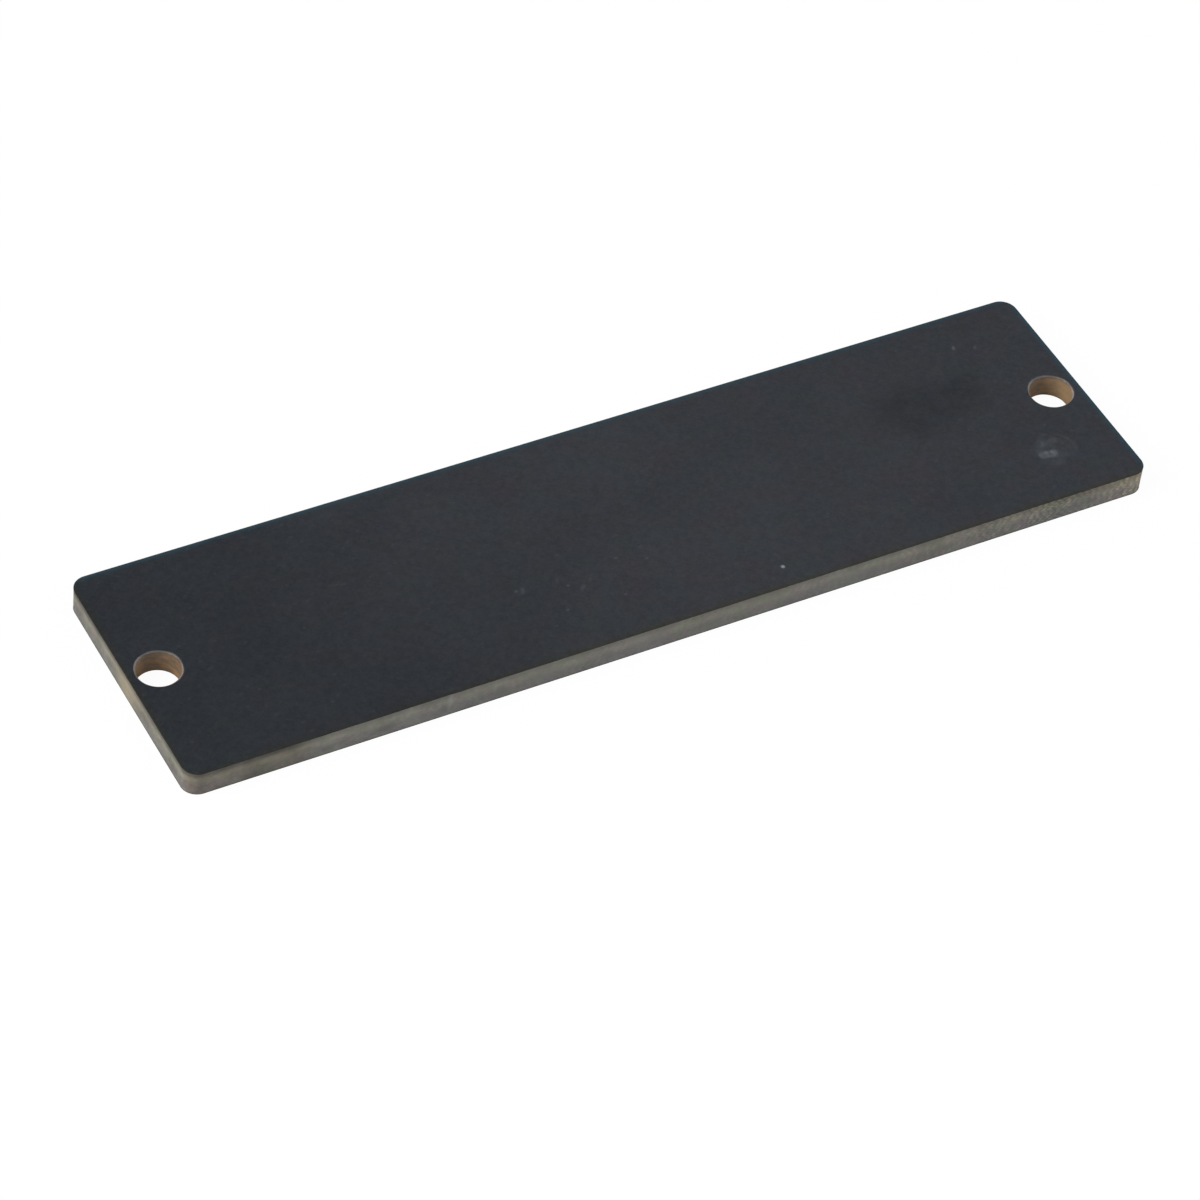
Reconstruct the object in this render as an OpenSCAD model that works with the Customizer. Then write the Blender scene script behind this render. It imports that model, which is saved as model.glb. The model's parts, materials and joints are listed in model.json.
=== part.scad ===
// Small kick plate: a flat guard plate cut from glass-epoxy laminate with a black coat on
// its face and on its back, and one fixing hole near each short end.
//
// Millimetres. The origin is the centre of the back, which is the side that rests on the
// door or rail. X runs along the plate, Y across it, and +Z points out of the black face.

/* [Plate] */
// Length of the plate, along X
plate_l = 95; // [60:1:160]
// Width of the plate, along Y
plate_w = 25; // [16:0.5:50]
// Overall thickness, with both coats
plate_t = 2.5; // [1.6:0.1:5]
// Radius of the four corners, seen from above
corner_r = 1.5; // [0.5:0.1:5]

/* [Fixing holes] */
// Diameter of the hole near each end, a clearance for a 3.5 mm (No. 6) screw
hole_d = 4; // [3:0.1:4.8]
// Distance from a short end to the centre of its hole
hole_inset = 2.9; // [2.9:0.1:8]
// Leg of the 45 degree deburr at both mouths of a hole
deburr = 0.16; // [0.06:0.02:0.3]

/* [Coats] */
// Thickness of the black coat on the face and on the back
coat_t = 0.05; // [0.03:0.02:0.09]

/* [Hidden] */
// The holes lie this far from the middle of the plate, on its long centre line
hole_x = plate_l / 2 - hole_inset;
core_t = plate_t - 2 * coat_t;
// Cutters run past the faces they cut by this much
over = 1;
$fn = 96;

// The plate seen from above: a rectangle with a true arc at each corner
module outline() {
    square([plate_l - 2 * corner_r, plate_w], center = true);
    square([plate_l, plate_w - 2 * corner_r], center = true);
    for (x = [-1, 1], y = [-1, 1])
        translate([x * (plate_l / 2 - corner_r), y * (plate_w / 2 - corner_r)])
            circle(r = corner_r);
}

// A cone that widens by one deburr leg over one deburr leg, and carries on past the face
module deburr_cone() {
    leg = deburr + over;
    cylinder(h = leg, d1 = hole_d, d2 = hole_d + 2 * leg);
}

// One drilled hole, deburred at the face and at the back
module hole_cutter() {
    translate([0, 0, -over])
        cylinder(h = plate_t + 2 * over, d = hole_d);
    translate([0, 0, plate_t - deburr])
        deburr_cone();
    translate([0, 0, deburr])
        mirror([0, 0, 1])
            deburr_cone();
}

// One layer of the plate from height z, with both holes through it
module layer(z, thickness) {
    difference() {
        translate([0, 0, z])
            linear_extrude(thickness)
                outline();
        for (side = [-1, 1])
            translate([side * hole_x, 0, 0])
                hole_cutter();
    }
}

// Glass-cloth plies pressed in epoxy, bare at the cut edges and in the holes
module laminate_core() {
    color("#8f8a7c")
        layer(coat_t, core_t);
}

// Black coat on the side that shows
module face_coat() {
    color("#36383d")
        layer(plate_t - coat_t, coat_t);
}

// Black coat on the side that rests on the door
module back_coat() {
    color("#2f3135")
        layer(0, coat_t);
}

laminate_core();
face_coat();
back_coat();
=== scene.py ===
"""Looks of a small kick plate: black coats over a glass-epoxy laminate, with two fixing holes.

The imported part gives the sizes, in metres: X runs along the plate, Y across it, and +Z points
out of the black face. The front side is the one at -Y, and the left end is the one at -X.
Meshes are worked out in millimetres and scaled by MM when they are made.
"""

import json
import math

import bpy
import numpy as np
from mathutils import Matrix, Vector
from mathutils.geometry import delaunay_2d_cdt


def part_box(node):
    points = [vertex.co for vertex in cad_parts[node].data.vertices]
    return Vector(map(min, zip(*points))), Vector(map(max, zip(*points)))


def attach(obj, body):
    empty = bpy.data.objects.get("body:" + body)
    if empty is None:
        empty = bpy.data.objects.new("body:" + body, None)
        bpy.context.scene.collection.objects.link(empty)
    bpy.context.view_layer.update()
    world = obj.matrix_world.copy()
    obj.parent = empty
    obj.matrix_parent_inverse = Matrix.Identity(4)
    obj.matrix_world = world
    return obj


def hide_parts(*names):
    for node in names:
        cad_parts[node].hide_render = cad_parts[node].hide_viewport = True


MM = 0.001
TURN = 2 * math.pi

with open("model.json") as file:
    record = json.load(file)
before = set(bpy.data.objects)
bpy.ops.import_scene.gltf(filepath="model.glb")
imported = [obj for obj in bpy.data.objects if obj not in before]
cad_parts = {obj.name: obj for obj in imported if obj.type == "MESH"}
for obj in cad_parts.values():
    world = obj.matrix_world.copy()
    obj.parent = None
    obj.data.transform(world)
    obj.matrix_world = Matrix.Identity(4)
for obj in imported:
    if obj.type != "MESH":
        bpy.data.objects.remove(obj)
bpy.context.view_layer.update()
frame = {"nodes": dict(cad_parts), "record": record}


# ---------------------------------------------------------------- sizes from the frame, in mm


def box_mm(node):
    """Lowest and highest corner of a CAD node, in millimetres"""
    low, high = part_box(node)
    return np.array(low) / MM, np.array(high) / MM


def corner_radius(node, high):
    """Radius of the plate's corners: how far short of the side the straight end stops"""
    points = np.array([v.co for v in frame["nodes"][node].data.vertices]) / MM
    end = points[points[:, 0] > high[0] - SAME_PLACE]
    return high[1] - end[:, 1].max()


def mount_dims(name):
    """The dimensions that the record gives for one mount"""
    return next(m["dims"] for m in frame["record"]["mounts"] if m["name"] == name)


SAME_PLACE = 0.001  # points this close together count as level
CORE_LOW, CORE_HIGH = box_mm("laminate_core")
FACE_LOW, FACE_HIGH = box_mm("face_coat")
BACK_LOW, _ = box_mm("back_coat")
HALF_X, HALF_Y, TOP = FACE_HIGH
BOTTOM = BACK_LOW[2]
CORE_BOTTOM, CORE_TOP = CORE_LOW[2], CORE_HIGH[2]
COAT_UNDER = FACE_LOW[2]  # underside of the face coat
PLATE_T = TOP - BOTTOM
CORNER_R = corner_radius("face_coat", FACE_HIGH)
HOLE_R = mount_dims("fixing_holes")["hole_r_mm"]
HOLE_X = mount_dims("fixing_holes")["spacing_x_mm"] / 2
DEBURR = (PLATE_T - mount_dims("hole_plus_x")["length_mm"]) / 2

# ---------------------------------------------------------------- make-up of the laminate, in mm

PLIES = 13
PLY_T = (CORE_TOP - CORE_BOTTOM) / PLIES
ROWS_PER_PLY = 3
OUTLINE_STEP = 0.125
YARN_PITCH = 0.71  # of the cut yarns round the edge, and of the cloth along X
CROSS_PITCH = 0.60  # of the cloth along Y
YARN_HALF_W = 0.27
YARN_HALF_H = 0.065
CRIMP = 0.03  # neighbouring yarns in a ply stand this much higher or lower
EDGE_INSET = 0.025  # the bare cut edge stands up to this far inside the coats' rims
EDGE_RELIEF = 0.012  # depth of the resin lines and saw marks on the cut edge
HOLE_RELIEF = 0.006  # depth of the feed rings and roughness in a hole
HOLE_REACH = 0.4  # points this far outside a hole's radius no longer belong to its wall
WEB_HALF_W = 2.0  # of the thin web between a hole and its short end, where light shining through is painted in as a paler colour
HOLE_COLUMNS = 108
HOLE_ROWS = 46
FEED_PITCH = 0.19  # of the faint rings that the drill left in a hole
MOUTH_BAND = 0.20  # pale, fuzzy band of laminate round each mouth of a hole
FAR_WAY = (0.54, 0.84)  # unit vector: the band is soiled on the side of the hole that lies this way
EDGE_NICK_DROP = 0.35  # the dents in the upper rim fade out this far below the face
# Dents in the upper rim: distance along the front side from its left end, half width and depth
EDGE_NICKS = ((22.7, 0.20, 0.05), (61.0, 0.15, 0.02), (88.4, 0.12, 0.025))
# Upright scratches on the front side: distance along, half width and strength
EDGE_SCRATCHES = ((22.8, 0.22, 1.0), (27.1, 0.16, 0.5))
SCRATCH_LEAN = 0.08

# ---------------------------------------------------------------- small number tools

NOISE_LATTICE = 256


def smoothstep(low, high, value):
    """0 below low, 1 above high, and a smooth rise between them"""
    t = np.clip((value - low) / (high - low), 0, 1)
    return t * t * (3 - 2 * t)


def lattice_noise(x, y, cell, seed):
    """Smooth random field in -1..1, with bumps about one cell wide. Each seed gives its own."""
    n = NOISE_LATTICE
    values = np.random.default_rng(seed).uniform(-1, 1, (n, n))
    u, v = np.asarray(x) / cell, np.asarray(y) / cell
    i, j = np.floor(u).astype(int), np.floor(v).astype(int)
    a, b = u - i, v - j
    a, b = a * a * (3 - 2 * a), b * b * (3 - 2 * b)
    left = values[i % n, j % n] * (1 - b) + values[i % n, (j + 1) % n] * b
    right = values[(i + 1) % n, j % n] * (1 - b) + values[(i + 1) % n, (j + 1) % n] * b
    return left * (1 - a) + right * a


def spot(x, y, centre, radius, blur):
    """1 in a round spot and 0 round it, with a smooth fall from blur inside its rim to blur outside"""
    distance = np.hypot(x - centre[0], y - centre[1])
    return 1 - smoothstep(radius - blur, radius + blur, distance)


# ---------------------------------------------------------------- columns round the outline and holes

CORNER_STEPS = 10  # the fewest steps round a corner


class Columns:
    """Points round a closed edge: where, which way is out of the material, and how far along"""

    def __init__(self, points, normals):
        self.points, self.normals = np.array(points), np.array(normals)
        steps = np.linalg.norm(np.roll(self.points, -1, 0) - self.points, axis=1)
        self.along = np.concatenate([[0], np.cumsum(steps)[:-1]])
        self.total = steps.sum()

    def row(self, inset, height):
        """One row of points, inset into the material, at a height. Both may vary by column."""
        flat = self.points - np.broadcast_to(inset, len(self.points))[:, None] * self.normals
        return np.column_stack([flat, np.broadcast_to(height, len(flat))])


def outline_columns(step):
    """The plate's outline, counter-clockwise from the left end of its front side"""
    points, normals = [], []
    for side in range(4):
        angle = TURN / 4 * (side - 1)
        out = np.array([math.cos(angle), math.sin(angle)])
        ahead = np.array([-out[1], out[0]])
        reach, half = (HALF_Y, HALF_X) if side % 2 == 0 else (HALF_X, HALF_Y)
        half -= CORNER_R
        for t in np.linspace(-half, half, round(2 * half / step), endpoint=False):
            points.append(out * reach + ahead * t)
            normals.append(out)
        centre = out * (reach - CORNER_R) + ahead * half
        steps = max(CORNER_STEPS, round(CORNER_R * TURN / 4 / step))
        for a in np.linspace(0, TURN / 4, steps, endpoint=False):
            normal = out * math.cos(a) + ahead * math.sin(a)
            points.append(centre + normal * CORNER_R)
            normals.append(normal)
    return Columns(points, normals)


def hole_columns(side):
    """One hole's wall, clockwise, so that the material is on its left as for the outline"""
    angles = -np.arange(HOLE_COLUMNS) / HOLE_COLUMNS * TURN
    out = np.column_stack([-np.cos(angles), -np.sin(angles)])
    return Columns(np.array([side * HOLE_X, 0]) - out * HOLE_R, out)


# ---------------------------------------------------------------- closed meshes

# The fill of a flat side leaves out what lies between its outline and the hull round it
INSIDE_OUTLINE = 1
FILL_ACCURACY = 1e-6
SHARP_ANGLE = 40


class Solid:
    """Collects the points and faces of one closed mesh, in millimetres"""

    def __init__(self):
        self.points, self.faces, self.edge_uv = [], [], []
        self.count = 0

    def add_points(self, points):
        """Adds points and returns their indices"""
        first = self.count
        self.points.append(np.asarray(points, float))
        self.count += len(points)
        return np.arange(first, self.count)

    def add_wall(self, columns, rows):
        """Joins rows, bottom row first, into quads. Returns each row's indices."""
        ids = [self.add_points(row) for row in rows]
        along = np.append(columns.along, columns.total)
        lengths = np.column_stack([along[:-1], along[1:], along[1:], along[:-1]])
        for lower, upper, low_row, high_row in zip(ids, ids[1:], rows, rows[1:]):
            low, high = low_row[:, 2], high_row[:, 2]
            heights = np.column_stack([low, np.roll(low, -1), np.roll(high, -1), high])
            self.faces.append(np.column_stack([lower, np.roll(lower, -1), np.roll(upper, -1), upper]))
            self.edge_uv.append(np.stack([lengths, heights], 2))
        return ids

    def add_walls(self, walls):
        """Adds walls, each given as its columns and rows. Returns their top and bottom loops."""
        ids = [self.add_wall(columns, rows) for columns, rows in walls]
        return [rows[-1] for rows in ids], [rows[0] for rows in ids]

    def add_cap(self, loops, upward, inner=(), height=None):
        """Fills the flat side between the outer loop, which comes first, and the hole loops.

        Inner points, each with its height, are joined into the fill.
        """
        ids = np.concatenate(loops)
        flat = self.all_points()[ids][:, :2]
        edges, first = [], 0
        for loop in loops:
            edges += [(first + k, first + (k + 1) % len(loop)) for k in range(len(loop))]
            first += len(loop)
        if len(inner):
            ids = np.concatenate([ids, self.add_points(np.column_stack([inner, height]))])
            flat = np.concatenate([flat, inner])
        _, _, triangles, sources, _, _ = delaunay_2d_cdt(
            [Vector(p) for p in flat], edges, [], INSIDE_OUTLINE, FILL_ACCURACY
        )
        order = np.array([s[0] for s in sources])
        triangles = order[np.array(triangles)]
        loop_of = np.repeat(np.arange(len(loops)), [len(loop) for loop in loops])
        loop_of = np.append(loop_of, np.zeros(len(inner), int))[triangles]
        over_hole = (loop_of[:, 0] > 0) & (np.ptp(loop_of, axis=1) == 0)
        triangles = ids[triangles[~over_hole]]
        if not upward:
            triangles = triangles[:, ::-1]
        self.faces.append(triangles)
        self.edge_uv.append(np.zeros((len(triangles), 3, 2)))

    def all_points(self):
        """Every point added so far, as one array"""
        return np.concatenate(self.points)

    def make(self, name, values):
        """The finished Blender object, with its point values as attributes"""
        mesh = bpy.data.meshes.new(name)
        faces = [face for group in self.faces for face in group.tolist()]
        mesh.from_pydata((self.all_points() * MM).tolist(), [], faces)
        layer = mesh.uv_layers.new(name="edge")
        layer.data.foreach_set("uv", np.concatenate([uv.reshape(-1, 2) for uv in self.edge_uv]).ravel())
        for key, value in values.items():
            attribute = mesh.attributes.new(key, "FLOAT", "POINT")
            attribute.data.foreach_set("value", np.asarray(value, np.float32))
        mesh.shade_smooth()
        mesh.set_sharp_from_angle(angle=math.radians(SHARP_ANGLE))
        mesh.update()
        piece = bpy.data.objects.new(name, mesh)
        bpy.context.scene.collection.objects.link(piece)
        return piece


def plane_grid(step, margin, hole_clear):
    """Staggered grid of points inside the outline, clear of its edge and of the holes"""
    rows = np.arange(-HALF_Y + margin, HALF_Y - margin, step)
    grid = []
    for k, y in enumerate(rows):
        x = np.arange(-HALF_X + margin + (k % 2) * step / 2, HALF_X - margin, step)
        grid.append(np.column_stack([x, np.full(len(x), y)]))
    return clear_of_edges(np.concatenate(grid), margin, hole_clear)


def clear_of_edges(points, margin, hole_clear):
    """The points that lie margin inside the outline and hole_clear from a hole's centre"""
    corner = np.maximum(np.abs(points) - (np.array([HALF_X, HALF_Y]) - CORNER_R), 0)
    inside = np.hypot(corner[:, 0], corner[:, 1]) < CORNER_R - margin
    away = np.hypot(np.abs(points[:, 0]) - HOLE_X, points[:, 1]) > hole_clear
    return points[inside & away]


# ---------------------------------------------------------------- the laminate


def ply_number(height):
    """The ply that a height lies in, counted from 0 at the back"""
    return np.clip(np.floor((height - CORE_BOTTOM) / PLY_T), 0, PLIES - 1)


def yarn_slip(along, height, total):
    """How far the row of cut yarns in a ply is shifted from an even spacing, in pitches.

    Part of the shift spreads a whole number of yarns round the edge. The rest is random.
    """
    ply = ply_number(height)
    fitted = total / round(total / YARN_PITCH)
    even = along / fitted - along / YARN_PITCH
    drift = 0.9 * lattice_noise(along / 14, ply / 2.2, 1.0, 11)
    return even + drift + 0.22 * lattice_noise(along / 0.9, ply, 1.0, 12)


def yarn_ends(along, height, total):
    """0..1 over a cut edge: 1 in the middle of a cut yarn, 0 in the resin between yarns"""
    ply = ply_number(height)
    centre = CORE_BOTTOM + (ply + 0.5) * PLY_T
    u = along / YARN_PITCH + yarn_slip(along, height, total)
    nearest = np.round(u)
    crimp = (np.mod(nearest + ply, 2) - 0.5) * CRIMP
    across = (u - nearest) * YARN_PITCH / YARN_HALF_W
    up = (height - centre - crimp) / YARN_HALF_H
    return 1 - smoothstep(0.55, 1.15, np.hypot(across, up))


def yarn_stacks(along, height):
    """-1..1: light where the yarns of neighbouring plies line up, dark in the gaps between"""
    lean = 0.07 * height + 0.6 * lattice_noise(along / 1.9, height / 0.7, 1.0, 13)
    wave = np.cos(TURN * (along / YARN_PITCH + lean))
    blobs = lattice_noise(along / 0.6, height / 0.45, 1.0, 14)
    return np.clip(0.55 * wave * smoothstep(-0.5, 0.6, blobs) + 0.55 * blobs, -1, 1)


def ply_lens(height):
    """0 at the resin line between two plies, 1 in the middle of a ply"""
    t = np.mod((height - CORE_BOTTOM) / PLY_T, 1)
    return np.sin(t * math.pi) ** 0.6


def edge_nicks(along, height):
    """Depth of the few small dents along the upper rim of the plate, in mm"""
    depth = 0
    for middle, width, deep in EDGE_NICKS:
        depth = depth + deep * np.exp(-(((along - middle) / width) ** 2))
    return depth * smoothstep(TOP - EDGE_NICK_DROP, TOP, height)


def core_heights():
    """Heights of the rows of points on the cut edge"""
    return np.linspace(CORE_BOTTOM, CORE_TOP, PLIES * ROWS_PER_PLY + 1)


def outer_wall_row(columns, height):
    """One row of the bare cut edge: yarns a little proud of the resin, and upright saw marks"""
    yarn = yarn_ends(columns.along, height, columns.total)
    saw = 0.5 + 0.5 * lattice_noise(columns.along, height / 6, 0.35, 21)
    sunk = EDGE_RELIEF * (0.45 * (1 - ply_lens(height)) + 0.3 * (1 - yarn) + 0.25 * saw)
    inset = EDGE_INSET - EDGE_RELIEF + sunk + edge_nicks(columns.along, height)
    return columns.row(inset, height)


def hole_wall_rows(columns):
    """A drilled wall, bottom row first: deburred at both mouths, with feed rings between them"""
    mouth = DEBURR - (TOP - CORE_TOP)
    low, high = CORE_BOTTOM + mouth, CORE_TOP - mouth
    straight = np.linspace(low, high, HOLE_ROWS)
    rows = []
    for height in (CORE_BOTTOM, CORE_BOTTOM + mouth / 2, *straight, CORE_TOP - mouth / 2, CORE_TOP):
        cone = max(0.0, low - height, height - high)
        rings = 0.5 + 0.5 * math.sin(TURN * height / FEED_PITCH)
        yarn = yarn_ends(columns.along, height, columns.total)
        rough = 0.5 + 0.5 * lattice_noise(columns.along, height, 0.25, 31)
        sunk = HOLE_RELIEF * (0.4 * rings + 0.3 * (1 - yarn) + 0.3 * rough)
        rows.append(columns.row(cone + sunk, height))
    return rows


def laminate_values(points):
    """Point values for the laminate's material"""
    x, y, z = points.T
    scratch = 0
    for along, width, strength in EDGE_SCRATCHES:
        middle = along - HALF_X + CORNER_R + SCRATCH_LEAN * z
        scratch = scratch + strength * np.exp(-(((x - middle) / width) ** 2))
    scratch = scratch * (y < CORNER_R - HALF_Y) * smoothstep(0.4, 1.6, z)
    in_hole = np.hypot(np.abs(x) - HOLE_X, y) < HOLE_R + HOLE_REACH
    high_mouth = smoothstep(CORE_TOP - MOUTH_BAND, CORE_TOP - MOUTH_BAND / 2, z)
    low_mouth = 1 - smoothstep(CORE_BOTTOM + MOUTH_BAND / 2, CORE_BOTTOM + MOUTH_BAND, z)
    # Painted light: the web between a hole and its short end is thin enough for light to pass, so it is
    # painted paler
    web = np.exp(-((y / WEB_HALF_W) ** 2)) * smoothstep(HOLE_X + 0.3, HOLE_X + HOLE_R, np.abs(x))
    far_side = (x - np.sign(x) * HOLE_X) * FAR_WAY[0] + y * FAR_WAY[1]
    return {
        "in_hole": in_hole,
        "mouth": in_hole * np.maximum(high_mouth, low_mouth),
        "painted_web_glow": web,
        "soiled": smoothstep(0.1 * HOLE_R, 0.8 * HOLE_R, far_side),
        "scratch": scratch,
    }


def make_laminate():
    """The bare laminate: cut outer edge, two drilled holes, and hidden flat sides"""
    solid = Solid()
    outer = outline_columns(OUTLINE_STEP)
    walls = [(outer, [outer_wall_row(outer, z) for z in core_heights()])]
    for side in (-1, 1):
        hole = hole_columns(side)
        walls.append((hole, hole_wall_rows(hole)))
    top_loops, bottom_loops = solid.add_walls(walls)
    solid.add_cap(top_loops, True)
    solid.add_cap(bottom_loops, False)
    values = laminate_values(solid.all_points())
    levels = [(columns, row[0, 2]) for columns, rows in walls for row in rows]
    values["slip"] = np.concatenate([yarn_slip(c.along, z, c.total) for c, z in levels])
    values["stack"] = np.concatenate([yarn_stacks(c.along, z) for c, z in levels])
    return solid.make("laminate_body", values)


# ---------------------------------------------------------------- the coats

COAT_STEP = 0.25
ARRIS_R = 0.03
ARRIS_ROWS = 6
LIP_INNER = 0.014  # the lip's inner side, just clear of the laminate's edge
LIP_DEPTH = 0.02
LIP_SPREAD = 0.009  # the lip is deeper or shallower by about this much from place to place
LIP_BEVEL = 0.004
RAGGED = 0.010  # the coat's edge round a hole wanders by this much either way
MOUTH_BREAK = 0.012  # the sharp edge at a hole's mouth is broken by this much
MOUTH_EASE = 0.01  # and the flat face starts this much further out
RIM_INSETS = (0.16, 0.32)  # of the rows of points between the rim and the grid
MOUTH_INSETS = (0.1, 0.25)  # of those between a hole's mouth and the grid
FACE_SPACING = 0.3
BACK_SPACING = 0.6
GRID_CLEAR = 0.6  # the grid keeps this share of its spacing clear of those rows
OFF_GRID = 0.0137  # shift of the close grids, so that their points miss the main grid's
RING_CENTRE = (HOLE_X - 3.9, -6.9)
RING_R = 2.2
GROOVE_HALF_W = 0.13
# Rubbed patches inside the ring: offset from its centre, radius and strength
RUBS = (
    (-1.22, -0.25, 0.30, 0.85),
    (-0.20, -0.22, 0.46, 0.95),
    (-0.72, -0.20, 0.40, 0.85),
    (-0.60, 1.10, 0.28, 0.28),
    (0.85, 1.10, 0.24, 0.16),
)
CHIP_CENTRE = (10.6, -10.2)
CHIP_R = 0.17
CHIP_PIT_R = 0.13
# Small light nicks: centre and strength
NICKS = ((HOLE_X - 5.4, 8.5, 0.22), (HOLE_X - 3.5, 7.8, 0.14))
NICK_R = 0.14
NICK_LEAN = (0.54, 0.84)  # unit vector: the way that a nick is longer
NICK_STRETCH = 1.7
# Fine scratches: both ends, and strength
HAIRLINES = (
    (-5.7, -4.9, -5.9, -5.1, 0.40),
    (-6.6, -5.4, -7.0, -5.7, 0.60),
    (-11.8, -3.7, -12.0, -4.2, 0.75),
    (-8.4, -3.7, -8.7, -4.2, 0.30),
    (20.5, -6.0, 21.3, -6.9, 0.25),
    (-27.0, 3.2, -25.8, 2.9, 0.25),
)
HAIRLINE_HALF_W = 0.13
SMUDGE_CENTRE = (33.0, 3.2)
SMUDGE_REACH = (7.5, 4.2)
# Depths below the face
PEEL_DEPTHS = (0.0012, 0.0006)
GROOVE_DEPTH = 0.012
SCUFF_DEPTH = 0.004
HAIRLINE_DEPTH = 0.004
CHIP_DEPTH = 0.03
NICK_DEPTH = 0.012


def ring_groove(x, y):
    """0..1 along the faint ring pressed into the face, strongest towards the far right"""
    radius = np.hypot(x - RING_CENTRE[0], y - RING_CENTRE[1])
    bearing = np.arctan2(y - RING_CENTRE[1], x - RING_CENTRE[0])
    strength = 0.5 + 0.5 * np.cos(bearing - 0.6)
    broken = smoothstep(-0.7, 0.5, lattice_noise(x, y, 0.8, 48))
    return np.exp(-(((radius - RING_R) / GROOVE_HALF_W) ** 2)) * strength * broken


def ring_scuff(x, y):
    """0..1 on the rubbed patches inside the ring"""
    x = x + 0.16 * lattice_noise(x, y, 0.35, 41)
    y = y + 0.16 * lattice_noise(x, y, 0.35, 42)
    rubbed = 0 * x
    for dx, dy, radius, strength in RUBS:
        centre = (RING_CENTRE[0] + dx, RING_CENTRE[1] + dy)
        rubbed = np.maximum(rubbed, strength * spot(x, y, centre, radius, 0.2))
    speckle = 0.8 + 0.45 * lattice_noise(x, y, 0.2, 43)
    faint = 0.12 * spot(x, y, RING_CENTRE, RING_R - 0.4, 0.4) * (1 + lattice_noise(x, y, 0.6, 44))
    return np.clip(rubbed * speckle + faint, 0, 1)


def nick(x, y, nick_x, nick_y):
    """0..1 on one short nick, longer along NICK_LEAN"""
    along = (x - nick_x) * NICK_LEAN[0] + (y - nick_y) * NICK_LEAN[1]
    across = (x - nick_x) * NICK_LEAN[1] - (y - nick_y) * NICK_LEAN[0]
    return spot(along / NICK_STRETCH, across, (0, 0), NICK_R, 0.1)


def hairlines(x, y):
    """0..1 on the fine scratches"""
    total = 0 * x
    for x0, y0, x1, y1, strength in HAIRLINES:
        reach = np.array([x1 - x0, y1 - y0])
        t = np.clip(((x - x0) * reach[0] + (y - y0) * reach[1]) / (reach @ reach), 0, 1)
        gap = np.hypot(x - x0 - t * reach[0], y - y0 - t * reach[1])
        total = np.maximum(total, strength * np.exp(-((gap / HAIRLINE_HALF_W) ** 2)))
    return total


def smudge(x, y):
    """0..1 over the cloudy dark smudge and the dull patch inside the ring"""
    dx = (x - SMUDGE_CENTRE[0]) / SMUDGE_REACH[0] + 0.35 * lattice_noise(x, y, 3.1, 45)
    dy = (y - SMUDGE_CENTRE[1]) / SMUDGE_REACH[1] + 0.35 * lattice_noise(x, y, 3.1, 46)
    cloud = (1 - smoothstep(0.2, 1.2, np.hypot(dx, dy))) * (0.75 + 0.35 * lattice_noise(x, y, 0.9, 47))
    dull = 0.8 * spot(x, y, (RING_CENTRE[0] + 0.4, RING_CENTRE[1] - 1.4), 0.6, 0.35)
    return np.clip(np.maximum(cloud, dull), 0, 1)


def face_dips(x, y):
    """How far the face lies below its highest level, in mm"""
    peel = PEEL_DEPTHS[0] * (1 + lattice_noise(x, y, 2.6, 51))
    peel = peel + PEEL_DEPTHS[1] * (1 + lattice_noise(x, y, 1.1, 52))
    marks = GROOVE_DEPTH * ring_groove(x, y)
    marks += SCUFF_DEPTH * ring_scuff(x, y)
    marks += HAIRLINE_DEPTH * hairlines(x, y)
    marks += CHIP_DEPTH * spot(x, y, CHIP_CENTRE, CHIP_PIT_R, 0.08)
    for nick_x, nick_y, _ in NICKS:
        marks += NICK_DEPTH * nick(x, y, nick_x, nick_y)
    return peel + marks


def face_values(points):
    """Point values for the face coat's material"""
    x, y, _ = points.T
    from_edge = np.minimum(HALF_X - np.abs(x), HALF_Y - np.abs(y))
    from_far_edge = np.minimum(HALF_X - x, HALF_Y - y)
    from_near_edge = np.minimum(HALF_X + x, HALF_Y + y)
    chip = spot(x, y, CHIP_CENTRE, CHIP_R, 0.09)
    for nick_x, nick_y, strength in NICKS:
        chip = np.maximum(chip, strength * nick(x, y, nick_x, nick_y))
    return {
        "scuff": np.clip(ring_scuff(x, y) + 0.15 * ring_groove(x, y) + 0.5 * hairlines(x, y), 0, 1),
        "chip": chip,
        "smudge": smudge(x, y),
        "rim": 1 - smoothstep(0.0, 0.35, from_edge),
        # painted highlight: strength of the light line along the back and right edges
        "far_rim": 1 - smoothstep(0.0, 0.6, from_far_edge),
        "near_rim": 1 - smoothstep(0.05, 0.75, from_near_edge),
    }


def back_dips(x, y):
    """The hidden side is flat but for a slight unevenness"""
    return 0.0015 * (1 + lattice_noise(x, y, 2.2, 81))


def back_values(points):
    """Point values for the back coat's material: only its grimy rim"""
    x, y, _ = points.T
    from_edge = np.minimum(HALF_X - np.abs(x), HALF_Y - np.abs(y))
    return {"rim": 1 - smoothstep(0.0, 0.35, from_edge)}


def lip_depth(columns):
    """How far the coat goes on down below its rounded arris, for each column"""
    level = 0 * columns.along
    wander = lattice_noise(columns.along, level, 1.7, 61)
    wander = wander + 0.6 * lattice_noise(columns.along, level, 0.5, 62)
    return LIP_DEPTH + LIP_SPREAD * wander


def coat_rim_rows(columns, dips, nick):
    """Rows from the coat's underside, round its lip and arris, to the flat face"""
    lip = TOP - ARRIS_R - lip_depth(columns)
    rows = [
        columns.row(LIP_INNER + nick, COAT_UNDER),
        columns.row(LIP_INNER + nick, lip),
        columns.row(LIP_BEVEL + nick, lip - LIP_BEVEL),
    ]
    for a in np.linspace(0, TURN / 4, ARRIS_ROWS):
        inset = ARRIS_R * (1 - math.cos(a))
        drop = ARRIS_R * (1 - math.sin(a))
        rows.append(columns.row(inset + nick, TOP - drop - nick))
    for inset in RIM_INSETS:
        row = columns.row(inset, TOP)
        row[:, 2] -= dips(row[:, 0], row[:, 1])
        rows.append(row)
    return rows


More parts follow.
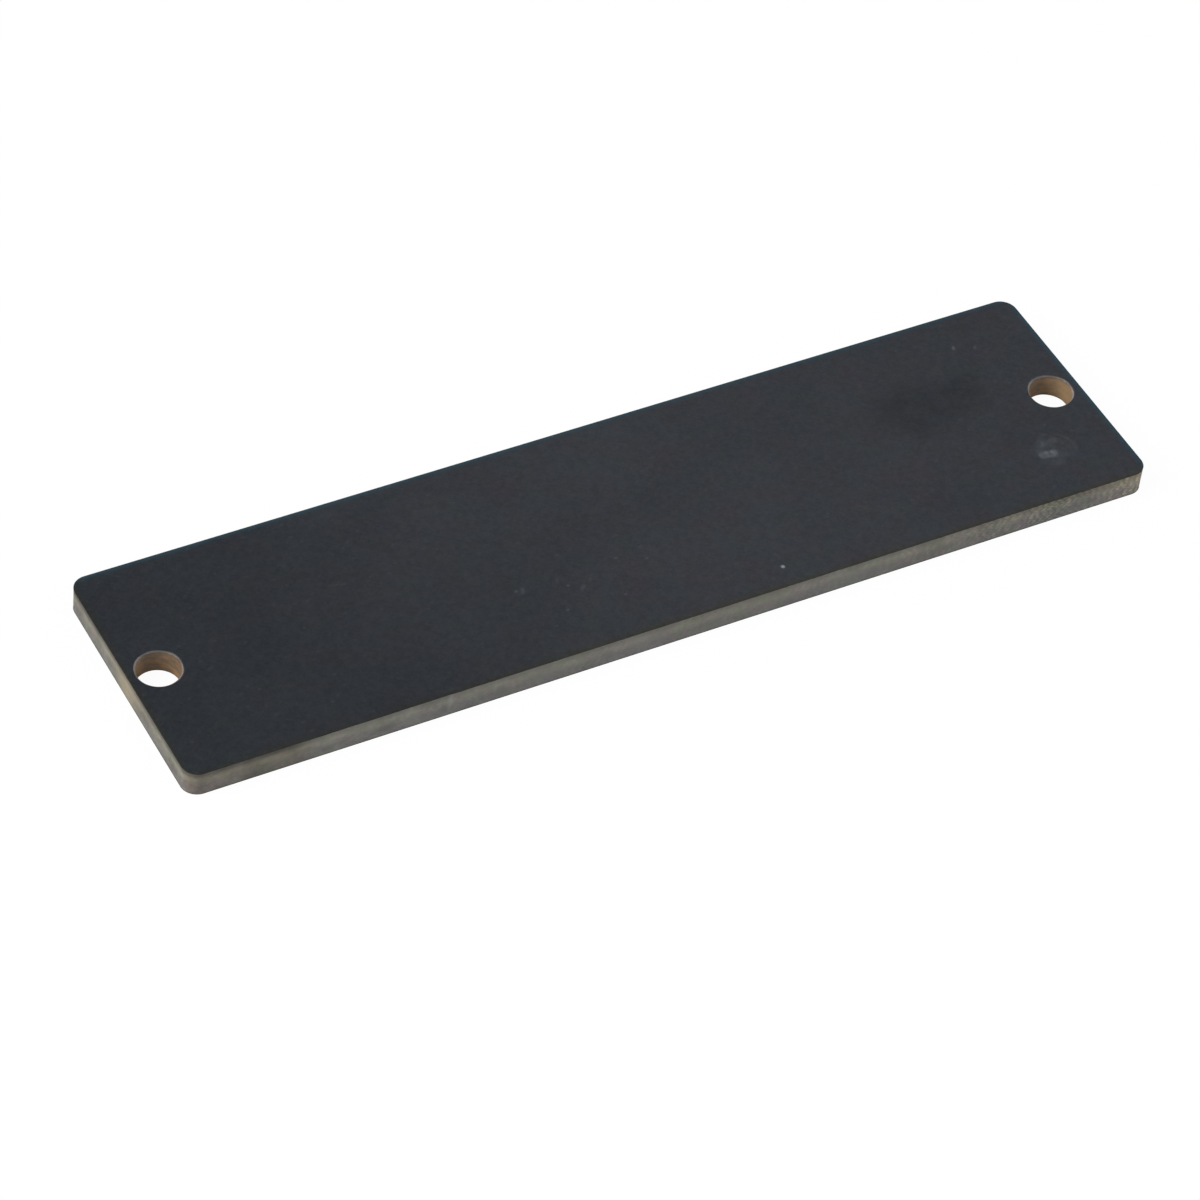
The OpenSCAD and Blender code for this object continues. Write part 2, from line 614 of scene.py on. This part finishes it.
def coat_mouth_rows(columns, dips, seed):
    """Rows round one hole, from the coat's underside, up its deburred cone, to the flat face"""
    cone = DEBURR - (TOP - COAT_UNDER)
    ragged = RAGGED * (1 + lattice_noise(columns.along, 0 * columns.along, 0.6, seed))
    rows = [
        columns.row(cone + ragged, COAT_UNDER),
        columns.row(DEBURR + ragged - MOUTH_BREAK, TOP - MOUTH_BREAK),
        columns.row(DEBURR + ragged + MOUTH_EASE, TOP),
    ]
    for inset in MOUTH_INSETS:
        row = columns.row(DEBURR + inset, TOP)
        row[:, 2] -= dips(row[:, 0], row[:, 1]) * inset / MOUTH_INSETS[-1]
        rows.append(row)
    return rows


def make_coat(name, dips, values, spacing, dented, marks=()):
    """One coat as a closed skin, built face up: lip, rounded arris, flat face and hole mouths"""
    solid = Solid()
    outer = outline_columns(COAT_STEP)
    nick = edge_nicks(outer.along, TOP) if dented else 0
    walls = [(outer, coat_rim_rows(outer, dips, nick))]
    for side in (-1, 1):
        hole = hole_columns(side)
        walls.append((hole, coat_mouth_rows(hole, dips, 71 + side)))
    top_loops, under_loops = solid.add_walls(walls)
    clear = spacing * GRID_CLEAR
    grid = plane_grid(spacing, RIM_INSETS[-1] + clear, HOLE_R + DEBURR + MOUTH_INSETS[-1] + clear)
    inner = np.concatenate([grid, *marks])
    solid.add_cap(top_loops, True, inner, TOP - dips(inner[:, 0], inner[:, 1]))
    solid.add_cap(under_loops, False)
    return solid.make(name, values(solid.all_points()))


def fine_patch(centre, radius, step):
    """Close grid of points round a mark, shifted off the main grid"""
    line = np.arange(-radius, radius, step)
    x, y = np.meshgrid(line, line)
    points = np.column_stack([x.ravel(), y.ravel()])
    points = points[np.hypot(points[:, 0], points[:, 1]) < radius]
    return points + np.array(centre) + OFF_GRID


def mark_patches():
    """Close grids of points where the face has marks, so that the marks have real depth"""
    patches = [fine_patch(RING_CENTRE, radius=RING_R + 0.5, step=0.09)]
    patches.append(fine_patch(CHIP_CENTRE, radius=0.4, step=0.05))
    for x, y, _ in NICKS:
        patches.append(fine_patch((x, y), radius=0.4, step=0.06))
    for x0, y0, x1, y1, _ in HAIRLINES:
        patches.append(fine_patch(((x0 + x1) / 2, (y0 + y1) / 2), radius=1.3, step=0.11))
    return patches


def turn_over(piece):
    """Mirrors a coat built face up about the plate's middle, so that it becomes the back coat"""
    flip = Matrix.Translation((0, 0, (TOP + BOTTOM) * MM)) @ Matrix.Scale(-1, 4, (0, 0, 1))
    piece.data.transform(flip)
    piece.data.flip_normals()


# ---------------------------------------------------------------- shader tools


class Shader:
    """Short ways to add nodes to one material"""

    def __init__(self, name):
        self.material = bpy.data.materials.new(name)
        self.material.use_nodes = True
        self.tree = self.material.node_tree
        self.surface = self.tree.nodes["Principled BSDF"]
        self.place = self.node("ShaderNodeTexCoord").outputs["Object"]

    def node(self, kind, **settings):
        """Adds a node with these settings"""
        made = self.tree.nodes.new(kind)
        for key, value in settings.items():
            setattr(made, key, value)
        return made

    def feed(self, socket, value):
        """Sets an input from a number, a colour or another node's output"""
        if isinstance(value, bpy.types.NodeSocket):
            self.tree.links.new(value, socket)
        elif isinstance(value, tuple) and len(value) == 3 and socket.type == "RGBA":
            socket.default_value = (*value, 1)
        else:
            socket.default_value = value

    def math(self, operation, first, second=0.0, third=0.0):
        """The result of one operation on numbers or outputs"""
        made = self.node("ShaderNodeMath", operation=operation)
        for socket, value in zip(made.inputs, (first, second, third)):
            self.feed(socket, value)
        return made.outputs[0]

    def times(self, first, second):
        """The product of two numbers or outputs"""
        return self.math("MULTIPLY", first, second)

    def ramp(self, value, low, high, to_low=0.0, to_high=1.0):
        """Smooth step from to_low at low to to_high at high"""
        made = self.node("ShaderNodeMapRange", interpolation_type="SMOOTHSTEP")
        for key, number in (("Value", value), ("From Min", low), ("From Max", high)):
            self.feed(made.inputs[key], number)
        self.feed(made.inputs["To Min"], to_low)
        self.feed(made.inputs["To Max"], to_high)
        return made.outputs["Result"]

    def mix(self, factor, first, second, blend="MIX"):
        """Two colours blended by a factor of 0..1"""
        made = self.node("ShaderNodeMix", data_type="RGBA", blend_type=blend)
        self.feed(made.inputs[0], factor)
        self.feed(made.inputs[6], first)
        self.feed(made.inputs[7], second)
        return made.outputs[2]

    def tint(self, colour, hue, share=1.0):
        """A colour multiplied by a hue, wholly or by a share of 0..1"""
        return self.mix(share, colour, hue, "MULTIPLY")

    def noise(self, per_mm, detail=2.0, roughness=0.5, stretch=(1, 1, 1), offset=0.0):
        """Noise in 0..1 with about per_mm features to the millimetre"""
        mapped = self.node("ShaderNodeMapping")
        self.feed(mapped.inputs["Vector"], self.place)
        mapped.inputs["Scale"].default_value = [s * per_mm / MM for s in stretch]
        mapped.inputs["Location"].default_value = (offset, offset, offset)
        made = self.node("ShaderNodeTexNoise")
        self.feed(made.inputs["Vector"], mapped.outputs[0])
        made.inputs["Scale"].default_value = 1
        made.inputs["Detail"].default_value = detail
        made.inputs["Roughness"].default_value = roughness
        return made.outputs["Fac"]

    def flecks(self, per_mm, share, turn):
        """0..1 on small flecks, longer along X, in a share of the cells of a turned random grid"""
        mapped = self.node("ShaderNodeMapping")
        self.feed(mapped.inputs["Vector"], self.place)
        mapped.inputs["Rotation"].default_value = (0, 0, turn)
        mapped.inputs["Scale"].default_value = (0.8 * per_mm / MM, 1.2 * per_mm / MM, 1)
        cells = self.node("ShaderNodeTexVoronoi", voronoi_dimensions="2D")
        self.feed(cells.inputs["Vector"], mapped.outputs[0])
        cells.inputs["Scale"].default_value = 1
        split = self.node("ShaderNodeSeparateColor")
        self.feed(split.inputs[0], cells.outputs["Color"])
        chosen = self.math("LESS_THAN", split.outputs[0], share)
        return self.times(chosen, self.ramp(cells.outputs["Distance"], 0.05, 0.17, 1.0, 0.0))

    def grey(self, value):
        """A number as a grey colour"""
        made = self.node("ShaderNodeCombineColor")
        for socket in made.inputs:
            self.feed(socket, value)
        return made.outputs[0]

    def value(self, name):
        """A point value of the mesh"""
        return self.node("ShaderNodeAttribute", attribute_name=name).outputs["Fac"]

    def axis(self, index):
        """One coordinate in millimetres"""
        split = self.node("ShaderNodeSeparateXYZ")
        self.feed(split.inputs[0], self.place)
        return self.times(split.outputs[index], 1 / MM)

    def distance(self, first, second):
        """Length of the line to the point with these two coordinates"""
        squares = self.math("ADD", self.math("POWER", first, 2.0), self.math("POWER", second, 2.0))
        return self.math("SQRT", squares)

    def bump(self, height, distance_mm, strength, onto=None):
        """A surface normal tilted by a height, on its own or on top of another bump"""
        made = self.node("ShaderNodeBump")
        made.inputs["Distance"].default_value = distance_mm * MM
        made.inputs["Strength"].default_value = strength
        self.feed(made.inputs["Height"], height)
        if onto is not None:
            self.feed(made.inputs["Normal"], onto)
        return made.outputs["Normal"]


# ---------------------------------------------------------------- black coats

FLECKED_CENTRE = (-8.0, -5.0)  # of the patch with most flecks, in mm
FLECKED_REACH = (9.0, 4.0)
# Painted reflection: the face's black is dimmer at the left end and lighter at the right
BLACK_LEFT_PAINTED_DIM = (0.0070, 0.0098, 0.0138)
BLACK_RIGHT_PAINTED_SHEEN = (0.0200, 0.0220, 0.0268)
BACK_BLACK_LEFT = (0.0130, 0.0140, 0.0160)
BACK_BLACK_RIGHT = (0.0165, 0.0165, 0.0190)
FACE_ROUGHNESS = 0.46
BACK_ROUGHNESS = 0.6
RUBBED = (0.110, 0.122, 0.132)
SMUDGED = (0.0060, 0.0065, 0.0085)
GRIMY_RIM = (0.010, 0.010, 0.011)
# Painted highlight: a light bluish line along the back and right edges of the face
PAINTED_RIM_HIGHLIGHT = (0.0090, 0.0430, 0.0640)
BARE_CHIP = (0.205, 0.212, 0.225)
# The rest are hues that a colour is multiplied by
DUSTY_RIM = (1.15, 1.0, 0.60)
TEAL = (0.92, 1.04, 1.05)
PLUM = (1.07, 0.965, 1.01)
BLUER = (0.985, 0.99, 1.045)
BROWNER = (1.015, 1.005, 0.95)


def fleck_strength(s):
    """Fine pale flecks: clear on one patch of the plate, faint elsewhere"""
    across = s.math("DIVIDE", s.math("SUBTRACT", s.axis(0), FLECKED_CENTRE[0]), FLECKED_REACH[0])
    up = s.math("DIVIDE", s.math("SUBTRACT", s.axis(1), FLECKED_CENTRE[1]), FLECKED_REACH[1])
    fade = s.ramp(s.distance(across, up), 0.6, 1.2, 0.30, 0.08)
    return s.times(s.flecks(0.85, 0.16, 0.7), fade)


def black_tint(s, left, right):
    """The black: one tint at each end, dimmer at the left and lighter at the right as a painted
    reflection, with faint clouds of other hues
    """
    across = s.ramp(s.axis(0), -HALF_X, HALF_X * 0.1)
    patchy = s.times(s.math("SUBTRACT", s.noise(0.045, 3.0), 0.5), 0.7)
    colour = s.mix(s.math("ADD", across, patchy), left, right)
    clouds = s.ramp(s.noise(0.30, 3.0, 0.6, offset=7.0), 0.3, 0.7)
    colour = s.tint(colour, s.mix(clouds, TEAL, PLUM))
    clouds = s.ramp(s.noise(0.45, 3.0, 0.6, offset=17.0), 0.3, 0.7)
    return s.tint(colour, s.mix(clouds, BLUER, BROWNER))


def coat_marks(s, colour, scuff):
    """The black with its smudge, rubs, flecks, rims and chips, and a painted bluish highlight along the
    back and right edges
    """
    colour = s.mix(s.times(s.value("smudge"), 0.5), colour, SMUDGED)
    colour = s.mix(s.times(scuff, 0.9), colour, RUBBED)
    colour = s.mix(fleck_strength(s), colour, RUBBED)
    colour = s.mix(s.times(s.value("rim"), 0.35), colour, GRIMY_RIM)
    # painted highlight along the back and right edges
    colour = s.mix(s.times(s.value("far_rim"), 0.75), colour, PAINTED_RIM_HIGHLIGHT)
    colour = s.tint(colour, DUSTY_RIM, s.value("near_rim"))
    return s.mix(s.value("chip"), colour, BARE_CHIP)


def coat_roughness(s, roughness, grain, scuff):
    """Uneven roughness: rougher where scuffed, smoother where smudged"""
    rough = s.math("ADD", s.ramp(s.noise(0.12, 3.0), 0.3, 0.7, -0.04, 0.05), roughness)
    rough = s.math("ADD", rough, s.ramp(grain, 0.3, 0.75, -0.04, 0.05))
    rough = s.math("ADD", rough, s.times(scuff, 0.18))
    return s.math("SUBTRACT", rough, s.times(s.value("smudge"), 0.05))


def black_coat_material(name, left, right, roughness):
    """Satin black: cloth print-through, fine grain, uneven tint, rubbed and chipped spots"""
    s = Shader(name)
    grain = s.noise(2.2, 5.0, 0.8, offset=2.0)
    fine = s.noise(17.0, 4.0, 0.75, offset=31.0)
    uneven = s.times(s.ramp(grain, 0.3, 0.7, 0.88, 1.13), s.ramp(fine, 0.3, 0.7, 0.87, 1.13))
    speckle = s.ramp(s.noise(8.0, 4.0, 0.7), 0.35, 0.65, 0.45, 1.1)
    scuff = s.times(s.value("scuff"), speckle)
    colour = s.tint(black_tint(s, left, right), s.grey(uneven))
    s.feed(s.surface.inputs["Base Color"], coat_marks(s, colour, scuff))
    s.feed(s.surface.inputs["Roughness"], coat_roughness(s, roughness, grain, scuff))
    glancing = s.node("ShaderNodeLayerWeight").outputs["Facing"]
    shine = s.ramp(glancing, 0.55, 0.93, 0.5, 0.01)
    s.feed(s.surface.inputs["Specular IOR Level"], s.times(uneven, shine))
    weave_x = s.math("SINE", s.times(s.axis(0), TURN / YARN_PITCH))
    weave_y = s.math("SINE", s.times(s.axis(1), TURN / CROSS_PITCH))
    normal = s.bump(s.times(weave_x, weave_y), 0.003, 0.7)
    normal = s.bump(grain, 0.010, 0.5, normal)
    normal = s.bump(fine, 0.006, 0.8, normal)
    s.feed(s.surface.inputs["Normal"], normal)
    return s.material


# ---------------------------------------------------------------- glass-epoxy

TAN = (0.215, 0.205, 0.165)
YARN = (0.330, 0.315, 0.255)
RESIN = (0.115, 0.112, 0.088)
FIBRE = (0.36, 0.35, 0.29)
AMBER = (0.250, 0.158, 0.085)
AMBER_DARK = (0.165, 0.120, 0.082)
MOUTH_TAN = (0.205, 0.172, 0.155)
SCRATCHED = (0.40, 0.37, 0.35)
# Painted light: colours of the thin webs as if lit from behind
LIT_WEB = (0.46, 0.39, 0.26)
LIT_AMBER = (0.38, 0.262, 0.14)
# The rest are hues that a colour is multiplied by
STACK_LIGHT = (1.34, 1.30, 1.18)
STACK_DARK = (0.70, 0.68, 0.74)
WARM = (1.10, 0.98, 0.84)
SHADE_RAMP_TOP = (1.12, 1.135, 1.16)  # painted shade: paler towards the face
SHADE_RAMP_BOTTOM = (0.850, 0.858, 1.015)  # painted shade: a darker, greyer mauve towards the back, where the side meets the floor
MOSS = (0.955, 1.055, 0.94)
ROSE = (1.055, 0.965, 1.04)
SCORCHED = (0.97, 0.875, 0.805)
STAINED = (0.82, 0.84, 0.80)
SUNNY = (1.48, 1.37, 1.27)
OCHRE = (0.90, 0.87, 0.76)
SMEARED = (0.49, 0.48, 0.49)


def cut_yarns(s):
    """0..1 over the cut edges: 1 on the lens shape of a cut yarn, 0 in the resin round it"""
    split = s.node("ShaderNodeSeparateXYZ")
    s.feed(split.inputs[0], s.node("ShaderNodeUVMap", uv_map="edge").outputs[0])
    along, height = split.outputs[0], split.outputs[1]
    phase = s.math("ADD", s.math("DIVIDE", along, YARN_PITCH), s.value("slip"))
    nearest = s.math("ROUND", phase)
    level = s.math("DIVIDE", s.math("SUBTRACT", height, CORE_BOTTOM), PLY_T)
    ply = s.math("FLOOR", level)
    odd = s.math("FLOORED_MODULO", s.math("ADD", nearest, ply), 2.0)
    crimp = s.times(s.math("SUBTRACT", odd, 0.5), CRIMP / PLY_T)
    middle = s.math("ADD", s.math("ADD", ply, 0.5), crimp)
    across = s.times(s.math("SUBTRACT", phase, nearest), YARN_PITCH / YARN_HALF_W)
    up = s.times(s.math("SUBTRACT", level, middle), PLY_T / YARN_HALF_H)
    fraying = s.ramp(s.noise(16.0, 3.0, 0.7), 0.3, 0.7, -0.22, 0.22)
    return s.ramp(s.math("ADD", s.distance(across, up), fraying), 0.72, 1.08, 1.0, 0.0)


def cloth_colour(s, yarn):
    """Pale yarns in dark resin, clearest near the right end, with painted shade darkening it towards
    the back
    """
    clear = s.ramp(s.axis(0), HALF_X * 0.45, HALF_X * 0.8, 0.25, 0.8)
    contrast = s.times(clear, s.ramp(s.noise(0.25, 2.0), 0.35, 0.65, 0.4, 1.0))
    colour = s.mix(yarn, s.mix(contrast, TAN, RESIN), s.mix(contrast, TAN, YARN))
    stack_hue = s.mix(s.ramp(s.value("stack"), -1.0, 1.0), STACK_DARK, STACK_LIGHT)
    colour = s.tint(colour, stack_hue, s.ramp(s.axis(0), HALF_X * 0.3, HALF_X * 0.7, 0.22, 0.85))
    colour = s.tint(colour, WARM, s.ramp(s.noise(0.09, 2.0, offset=3.0), 0.35, 0.65, 0.0, 0.2))
    mottled = s.ramp(s.noise(0.9, 3.0, 0.65, offset=5.0), 0.3, 0.7)
    colour = s.tint(colour, s.mix(mottled, MOSS, ROSE))
    # Painted shade: the cut edge is paler towards the face and darker and greyer towards the floor
    upper = s.ramp(s.axis(2), PLATE_T * 0.34, PLATE_T * 0.68)
    return s.tint(colour, s.mix(upper, SHADE_RAMP_BOTTOM, SHADE_RAMP_TOP))


def front_side_tints(s, colour):
    """Scorched, stained, sunny and ochre stretches of the front side"""
    on_front = s.ramp(s.axis(1), -HALF_Y * 0.96, -HALF_Y * 0.9, 1.0, 0.0)
    left_part = s.ramp(s.axis(0), -HALF_X * 0.79, -HALF_X * 0.75, 1.0, 0.0)
    colour = s.tint(colour, SCORCHED, s.times(on_front, left_part))
    from_stain = s.math("ABSOLUTE", s.math("ADD", s.axis(0), HALF_X * 0.84))
    stain = s.ramp(from_stain, HALF_X * 0.03, HALF_X * 0.09, 1.0, 0.0)
    colour = s.tint(colour, STAINED, s.times(on_front, stain))
    right_end = s.ramp(s.axis(0), HALF_X * 0.88, HALF_X * 0.95)
    colour = s.tint(colour, SUNNY, s.times(on_front, right_end))
    near_top = s.ramp(s.axis(2), PLATE_T * 0.62, PLATE_T * 0.86)
    right_part = s.ramp(s.axis(0), HALF_X * 0.60, HALF_X * 0.76)
    return s.tint(colour, OCHRE, s.times(s.times(near_top, right_part), on_front))


def cut_detail(s, colour, yarn):
    """Loose fibres, filaments in the yarns, dirty patches and scratches"""
    fibres = s.noise(12.0, 3.0, 0.6, (1, 1, 2.5))
    colour = s.mix(s.ramp(fibres, 0.3, 0.7, 0.0, 0.30), colour, FIBRE)
    filaments = s.ramp(s.noise(55.0, 2.0, 0.7, offset=23.0), 0.35, 0.65, 0.80, 1.20)
    colour = s.tint(colour, s.grey(filaments), s.ramp(yarn, 0.0, 1.0, 0.4, 1.0))
    patches = s.ramp(s.noise(0.6, 3.0, 0.6, (1, 1, 1.6), offset=9.0), 0.3, 0.7, -0.5, 0.5)
    spread = s.ramp(s.axis(0), -HALF_X * 0.7, -HALF_X * 0.3, 0.34, 0.18)
    colour = s.tint(colour, s.grey(s.math("MULTIPLY_ADD", patches, spread, 0.99)))
    return s.mix(s.times(s.value("scratch"), 0.45), colour, SCRATCHED)


def drilled_colour(s):
    """Streaky amber of the drilled walls, paler towards the back"""
    streaks = s.ramp(s.noise(1.2, 3.0, 0.6, (1, 1, 2)), 0.35, 0.65)
    paler = s.ramp(s.axis(2), 0.0, PLATE_T * 0.7, 1.45, 1.0)
    return s.tint(s.mix(streaks, AMBER_DARK, AMBER), s.grey(paler))


def mouth_colour(s):
    """Fuzzy tan of the band round a hole's mouth, darker on its soiled side"""
    soiled = s.ramp(s.value("soiled"), 0.0, 1.0, 1.0, 0.33)
    fuzz = s.ramp(s.noise(7.0, 3.0, 0.6), 0.3, 0.7, 0.78, 1.2)
    return s.tint(MOUTH_TAN, s.grey(s.times(soiled, fuzz)))


def smeared_rim(s, in_hole):
    """0..1 along the top of the cut edge, where it is dirty, most of all at the left end"""
    near_top = s.ramp(s.axis(2), PLATE_T * 0.68, PLATE_T * 0.94)
    outside = s.times(near_top, s.math("SUBTRACT", 1.0, in_hole))
    reach = s.ramp(s.axis(0), -HALF_X * 0.84, -HALF_X * 0.72, 1.0, 0.38)
    patches = s.ramp(s.noise(0.5, 3.0, 0.6, offset=13.0), 0.3, 0.7, 0.8, 1.15)
    return s.times(outside, s.times(reach, patches))


def laminate_material():
    """Cut glass-epoxy: pale yarn ends in olive resin, amber where drilled"""
    s = Shader("glass_epoxy")
    yarn = cut_yarns(s)
    in_hole = s.value("in_hole")
    colour = front_side_tints(s, cloth_colour(s, yarn))
    colour = cut_detail(s, colour, yarn)
    colour = s.mix(in_hole, colour, drilled_colour(s))
    # painted light: the thin webs are painted paler and warmer, as if lit through
    lit = s.mix(in_hole, LIT_WEB, LIT_AMBER)
    colour = s.mix(s.times(s.value("painted_web_glow"), 0.55), colour, lit)
    colour = s.mix(s.times(s.value("mouth"), 0.8), colour, mouth_colour(s))
    colour = s.tint(colour, SMEARED, smeared_rim(s, in_hole))
    s.feed(s.surface.inputs["Base Color"], colour)
    s.feed(s.surface.inputs["Roughness"], s.ramp(yarn, 0.0, 1.0, 0.5, 0.68))
    normal = s.bump(s.noise(20.0, 3.0, 0.65, (1, 1, 2)), 0.010, 0.8)
    s.feed(s.surface.inputs["Normal"], normal)
    return s.material


# ---------------------------------------------------------------- stage, light and camera

FLOOR_HALF = 3.0  # metres
FLOOR_LEVEL = -0.00002  # metres: just clear of the plate's back
FLOOR_BOUNCE = (0.30, 0.30, 0.31)
FLOOR_SEEN = (0.92, 0.92, 0.92)
FLOOR_LIFT = 0.96
WHITE = (1.0, 1.0, 1.0)
SKY = (0.95, 0.97, 1.0)
SKY_LIGHT = 0.26
LIGHT_DISTANCE = 1.3  # metres
# Square lights: name, azimuth, elevation, size in metres, power in watts, and colour
SOFTBOXES = (
    ("key", -95, 38, 0.8, 16.6, (1.0, 0.975, 0.945)),
    ("fill", 15, 32, 0.8, 5.4, (0.94, 0.985, 1.07)),
    ("back", -172, 14, 0.6, 4.5, (0.95, 0.98, 1.0)),
    ("right", 80, 24, 0.8, 6.0, (0.95, 0.98, 1.0)),
)
CAMERA_AZIMUTH, CAMERA_ELEVATION, CAMERA_ROLL = -32.71, 45.23, 6.93
CAMERA_DISTANCE = 4.468  # in plate lengths
CAMERA_AIM = (-0.0650, -0.0798)  # off the plate's middle, in plate lengths
CAMERA_SHIFT = (-0.0003, 0.0003)
LENS_MM = 146.9
SENSOR_MM = 36


def floor_material():
    """Plain near-white floor: bright to the camera, dimmer in the light it bounces"""
    s = Shader("studio_floor")
    nodes, links = s.tree.nodes, s.tree.links
    path = s.node("ShaderNodeLightPath").outputs["Is Camera Ray"]
    diffuse = s.node("ShaderNodeBsdfDiffuse")
    s.feed(diffuse.inputs["Color"], s.mix(path, FLOOR_BOUNCE, FLOOR_SEEN))
    glow = s.node("ShaderNodeEmission")
    s.feed(glow.inputs["Color"], WHITE)
    mixed = s.node("ShaderNodeMixShader")
    s.feed(mixed.inputs[0], s.times(path, FLOOR_LIFT))
    links.new(diffuse.outputs[0], mixed.inputs[1])
    links.new(glow.outputs[0], mixed.inputs[2])
    links.new(mixed.outputs[0], nodes["Material Output"].inputs["Surface"])
    return s.material


def make_floor():
    """A large plane just under the plate"""
    mesh = bpy.data.meshes.new("studio_floor")
    half, level = FLOOR_HALF, FLOOR_LEVEL
    corners = [(-half, -half, level), (half, -half, level), (half, half, level), (-half, half, level)]
    mesh.from_pydata(corners, [], [(0, 1, 2, 3)])
    floor = bpy.data.objects.new("studio_floor", mesh)
    bpy.context.scene.collection.objects.link(floor)
    mesh.materials.append(floor_material())


def make_world():
    """White to the camera, and a dimmer, slightly cool sky as light"""
    world = bpy.data.worlds.new("studio")
    bpy.context.scene.world = world
    world.use_nodes = True
    nodes, links = world.node_tree.nodes, world.node_tree.links
    shade = nodes["Background"]
    shade.inputs["Color"].default_value = (*SKY, 1)
    shade.inputs["Strength"].default_value = SKY_LIGHT
    white = nodes.new("ShaderNodeBackground")
    white.inputs["Color"].default_value = (*WHITE, 1)
    path = nodes.new("ShaderNodeLightPath")
    mixed = nodes.new("ShaderNodeMixShader")
    links.new(path.outputs["Is Camera Ray"], mixed.inputs[0])
    links.new(shade.outputs[0], mixed.inputs[1])
    links.new(white.outputs[0], mixed.inputs[2])
    links.new(mixed.outputs[0], nodes["World Output"].inputs["Surface"])


def direction(azimuth, elevation):
    """Unit vector from the plate towards a viewer; azimuth 0 is in front, 90 to the right"""
    a, e = math.radians(azimuth), math.radians(elevation)
    return Vector((math.sin(a) * math.cos(e), -math.cos(a) * math.cos(e), math.sin(e)))


def add_softbox(name, azimuth, elevation, size, power, colour):
    """A square area light aimed at the middle of the plate"""
    light = bpy.data.lights.new(name, "AREA")
    light.shape = "SQUARE"
    light.size = size
    light.energy = power
    light.color = colour
    lamp = bpy.data.objects.new(name, light)
    lamp.visible_camera = False
    away = direction(azimuth, elevation)
    lamp.location = away * LIGHT_DISTANCE
    lamp.rotation_euler = away.to_track_quat("Z", "Y").to_euler()
    bpy.context.scene.collection.objects.link(lamp)


def add_camera():
    """Long lens from the front left, above the plate, tilted a little to its side"""
    length = 2 * HALF_X * MM
    aim = Vector((CAMERA_AIM[0] * length, CAMERA_AIM[1] * length, TOP * MM))
    data = bpy.data.cameras.new("camera")
    data.sensor_width = SENSOR_MM
    data.lens = LENS_MM
    data.shift_x, data.shift_y = CAMERA_SHIFT
    data.clip_start, data.clip_end = 0.01, 20
    camera = bpy.data.objects.new("camera", data)
    away = direction(CAMERA_AZIMUTH, CAMERA_ELEVATION)
    roll = Matrix.Rotation(math.radians(CAMERA_ROLL), 3, "Z")
    turn = away.to_track_quat("Z", "Y").to_matrix() @ roll
    camera.matrix_world = Matrix.Translation(aim + away * length * CAMERA_DISTANCE) @ turn.to_4x4()
    bpy.context.scene.collection.objects.link(camera)
    bpy.context.scene.camera = camera


# ---------------------------------------------------------------- put it together


def place(piece, node, material):
    """The piece stands for a CAD node, rides on the plate and takes its material"""
    piece.data.materials.append(material)
    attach(piece, "root")
    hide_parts(node)


laminate = make_laminate()
place(laminate, "laminate_core", laminate_material())

face = make_coat("face_skin", face_dips, face_values, FACE_SPACING, True, mark_patches())
satin_black = black_coat_material("satin_black", BLACK_LEFT_PAINTED_DIM, BLACK_RIGHT_PAINTED_SHEEN, FACE_ROUGHNESS)
place(face, "face_coat", satin_black)

back = make_coat("back_skin", back_dips, back_values, BACK_SPACING, False)
turn_over(back)
dull_black = black_coat_material("dull_black", BACK_BLACK_LEFT, BACK_BLACK_RIGHT, BACK_ROUGHNESS)
place(back, "back_coat", dull_black)

make_floor()
make_world()
for softbox in SOFTBOXES:
    add_softbox(*softbox)
add_camera()
bpy.context.scene.view_settings.view_transform = "Standard"
